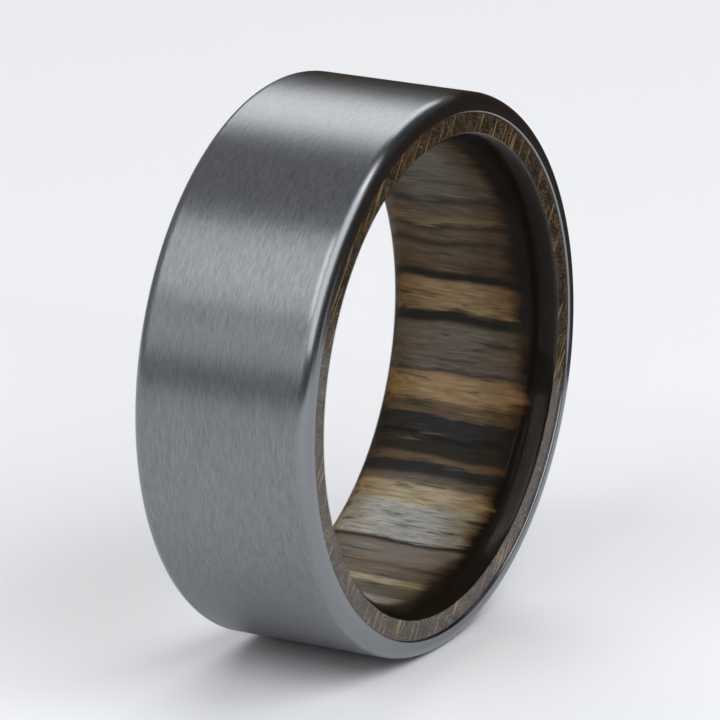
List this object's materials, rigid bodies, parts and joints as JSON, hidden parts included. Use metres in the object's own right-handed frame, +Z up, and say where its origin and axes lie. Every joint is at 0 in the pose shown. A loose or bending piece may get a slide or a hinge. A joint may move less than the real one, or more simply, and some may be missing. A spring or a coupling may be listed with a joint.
{
  "type": "wedding band",
  "caption": "Plain wide ring with a satin-brushed dark grey metal shell, rounded rims and a glossy dark striped wood lining.",
  "frame": {"origin": "centre of the finger hole, on the ring's axis and midway between its two end faces", "axes": "+Y along the ring's axis, the way a finger passes through; +Z up with the ring standing on its rim; the front end face looks towards -Y"},
  "size_m": [0.0232, 0.008, 0.0232],
  "materials": {
    "brushed_metal": "satin",
    "cured_adhesive": "gloss",
    "striped_wood": "satin",
    "clear_film": "gloss"
  },
  "bodies": {
    "root": {"outer_band": "brushed_metal", "glue_line": "cured_adhesive", "wood_liner": "striped_wood", "clear_finish": "clear_film"}
  },
  "joints": []
}
